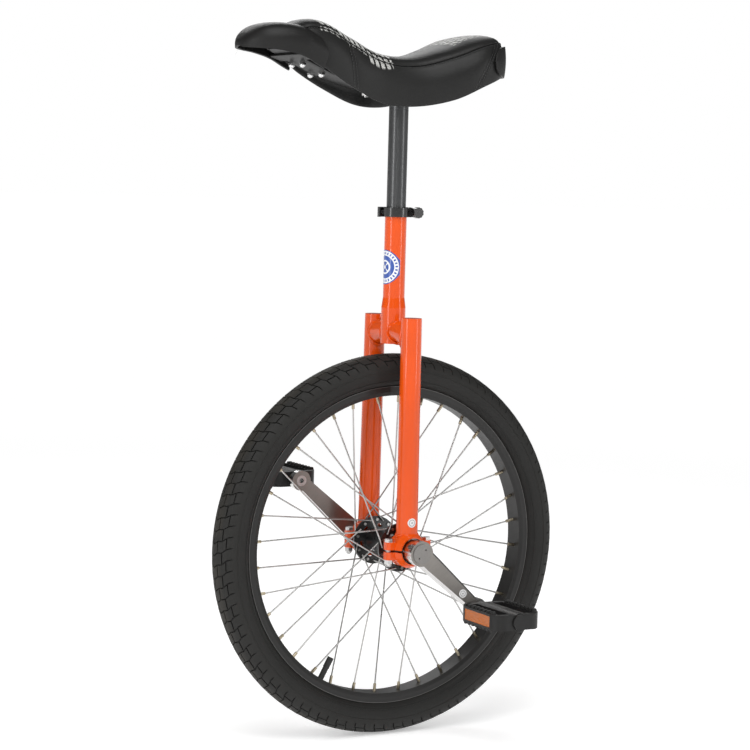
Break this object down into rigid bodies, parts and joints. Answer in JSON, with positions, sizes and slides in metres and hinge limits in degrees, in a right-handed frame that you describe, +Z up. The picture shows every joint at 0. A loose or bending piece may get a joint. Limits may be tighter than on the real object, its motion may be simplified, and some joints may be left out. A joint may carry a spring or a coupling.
{
  "type": "unicycle",
  "caption": "Unicycle with an air-filled tyre on a spoked wheel, a steel fork, cotterless cranks with reflector pedals and a height-adjustable saddle with a front handle.",
  "frame": {"origin": "the tyre's contact point with the ground, under the axle, in the middle plane", "axes": "+X forward (the saddle's handle end), +Y to the rider's left along the axle, +Z up along the seat post"},
  "size_m": [0.505, 0.398, 0.9299],
  "materials": {
    "orange_paint": "gloss",
    "black_paint": "gloss",
    "tyre_rubber": "matte",
    "tube_rubber": "matte",
    "tape_plastic": "matte",
    "rim_black": "satin",
    "spoke_steel": "polished",
    "nipple_brass": "satin",
    "machined_steel": "satin",
    "crank_steel": "satin",
    "bolt_zinc": "satin",
    "chrome_nut": "polished",
    "cap_grey": "satin",
    "pedal_resin": "satin",
    "reflector_amber": "gloss",
    "bush_bronze": "satin",
    "badge_white": "gloss",
    "post_gunmetal": "satin",
    "saddle_vinyl": "satin",
    "saddle_plastic": "matte",
    "handle_plastic": "satin"
  },
  "bodies": {
    "frame": {"seat_tube": "orange_paint", "crown_bridge_left": "orange_paint", "crown_bridge_right": "orange_paint", "fork_leg_left": "orange_paint", "fork_leg_right": "orange_paint", "leg_top_plugs": "orange_paint", "bearing_holder_left": "orange_paint", "bearing_holder_right": "orange_paint", "bearing_cap_left": "orange_paint", "bearing_cap_right": "orange_paint", "holder_bolts": "bolt_zinc", "holder_nuts": "bolt_zinc", "bearing_outer_races": "machined_steel", "frame_badges": "badge_white"},
    "wheel": {"tyre": "tyre_rubber", "inner_tube": "tube_rubber", "rim_tape": "tape_plastic", "rim": "rim_black", "spokes_left": "spoke_steel", "spokes_right": "spoke_steel", "spoke_nipples": "nipple_brass", "valve_stem": "tube_rubber", "hub_shell": "black_paint", "axle": "machined_steel", "axle_spacers": "machined_steel", "bearing_inner_races": "machined_steel", "crank_left": "crank_steel", "crank_right": "crank_steel", "crank_bolts": "machined_steel", "dust_caps": "cap_grey", "crank_badge": "badge_white", "pedal_spindle_left": "machined_steel", "pedal_spindle_right": "machined_steel", "pedal_lock_nuts": "machined_steel"},
    "pedal_left": {"pedal_body_left": "pedal_resin", "pedal_reflectors_left": "reflector_amber", "pedal_bushes_left": "bush_bronze", "pedal_end_cap_left": "pedal_resin"},
    "pedal_right": {"pedal_body_right": "pedal_resin", "pedal_reflectors_right": "reflector_amber", "pedal_bushes_right": "bush_bronze", "pedal_end_cap_right": "pedal_resin"},
    "balls_left": {"bearing_balls_left": "machined_steel"},
    "balls_right": {"bearing_balls_right": "machined_steel"},
    "valve_cap": {"valve_cap": "tube_rubber"},
    "seat_clamp": {"clamp_collar": "black_paint", "clamp_skewer": "machined_steel", "clamp_washer": "black_paint"},
    "clamp_lever": {"clamp_lever": "black_paint", "clamp_cam_pin": "machined_steel"},
    "clamp_nut": {"clamp_nut": "black_paint"},
    "seat": {"seat_post": "post_gunmetal", "seat_bracket": "post_gunmetal", "saddle_base": "saddle_plastic", "saddle_cushion": "saddle_vinyl", "front_handle": "handle_plastic", "rear_bumper": "saddle_plastic", "saddle_bolts": "bolt_zinc", "saddle_nuts": "bolt_zinc", "handle_nuts": "chrome_nut"}
  },
  "joints": [
    {"name": "wheel_spin", "type": "hinge", "parent": "frame", "child": "wheel", "pos_m": [0, 0, 0.2525], "axis": [0, 1, 0], "continuous": true},
    {"name": "balls_left_roll", "type": "hinge", "parent": "frame", "child": "balls_left", "pos_m": [0, 0.054, 0.2525], "axis": [0, 1, 0], "continuous": true},
    {"name": "balls_right_roll", "type": "hinge", "parent": "frame", "child": "balls_right", "pos_m": [0, -0.054, 0.2525], "axis": [0, 1, 0], "continuous": true},
    {"name": "pedal_left_spin", "type": "hinge", "parent": "wheel", "child": "pedal_left", "pos_m": [-0.08498, 0.15, 0.17652], "axis": [0, 1, 0], "continuous": true},
    {"name": "pedal_right_spin", "type": "hinge", "parent": "wheel", "child": "pedal_right", "pos_m": [0.08498, -0.15, 0.32849], "axis": [0, 1, 0], "continuous": true},
    {"name": "valve_cap_pull", "type": "slide", "parent": "wheel", "child": "valve_cap", "axis": [-0.4787, 0, 0.878], "range_m": [0, 0.014]},
    {"name": "seat_turn", "type": "hinge", "parent": "frame", "child": "seat_clamp", "pos_m": [0, 0, 0.6895], "axis": [0, 0, 1], "continuous": true},
    {"name": "clamp_lever_swing", "type": "hinge", "parent": "seat_clamp", "child": "clamp_lever", "pos_m": [-0.0255, -0.01625, 0.6895], "axis": [0, 0, -1], "range_deg": [0, 165]},
    {"name": "clamp_nut_turn", "type": "hinge", "parent": "seat_clamp", "child": "clamp_nut", "pos_m": [-0.0255, 0.0113, 0.6895], "axis": [0, 1, 0], "continuous": true},
    {"name": "seat_height", "type": "slide", "parent": "seat_clamp", "child": "seat", "axis": [0, 0, 1], "range_m": [-0.08, 0.03]}
  ],
  "couplings": [
    {"joint": "balls_left_roll", "follows": "wheel_spin", "ratio": 0.3754},
    {"joint": "balls_right_roll", "follows": "wheel_spin", "ratio": 0.3754}
  ]
}
